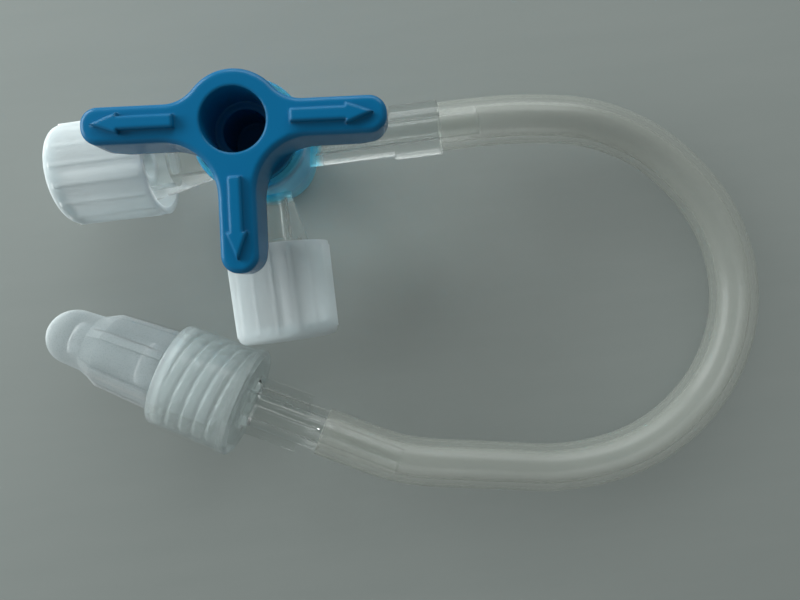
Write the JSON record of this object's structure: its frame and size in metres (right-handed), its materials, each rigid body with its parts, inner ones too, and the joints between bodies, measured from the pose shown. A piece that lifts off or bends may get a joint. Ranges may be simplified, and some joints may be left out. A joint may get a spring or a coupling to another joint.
{
  "type": "three way stopcock with extension tube",
  "caption": "Clear stopcock with a blue T handle, capped luer ports and a short looped tube to a male luer connector with spinning collar and tip cap.",
  "frame": {"origin": "on the barrel's axis, at the resting plane under the barrel", "axes": "-Z out of the barrel's resting face, -X out of the capped in-line port, -Y out of the capped side port"},
  "size_m": [0.0675, 0.0401, 0.0173],
  "materials": {
    "clear_body": "clear moulded plastic",
    "blue_handle": "glossy opaque",
    "frosted_cap": "frosted white",
    "frosted_clear": "frosted translucent",
    "soft_tube": "clear soft tube, slightly cloudy"
  },
  "bodies": {
    "stopcock": {"stopcock_body": "clear_body", "extension_tube": "soft_tube", "luer_connector": "clear_body"},
    "handle": {"handle": "blue_handle"},
    "left_cap": {"left_port_cap": "frosted_cap"},
    "side_cap": {"side_port_cap": "frosted_cap"},
    "collar": {"locking_collar": "frosted_clear"},
    "tip_cap": {"tip_cap": "frosted_clear"}
  },
  "joints": [
    {"name": "handle_turn", "type": "hinge", "parent": "stopcock", "child": "handle", "pos_m": [0, 0, 0.006], "axis": [0, 0, 1], "continuous": true},
    {"name": "left_cap_off", "type": "slide", "parent": "stopcock", "child": "left_cap", "axis": [-1, 0, 0], "range_m": [0, 0.012]},
    {"name": "side_cap_turn", "type": "hinge", "parent": "stopcock", "child": "side_cap", "pos_m": [0, -0.013, 0.006], "axis": [0, -1, 0], "continuous": true},
    {"name": "collar_spin", "type": "hinge", "parent": "stopcock", "child": "collar", "pos_m": [-0.00788, -0.02128, 0.0051], "axis": [-0.8805, 0.4741, 0], "continuous": true},
    {"name": "tip_cap_off", "type": "slide", "parent": "stopcock", "child": "tip_cap", "axis": [-0.8805, 0.4741, 0], "range_m": [0, 0.014]}
  ]
}
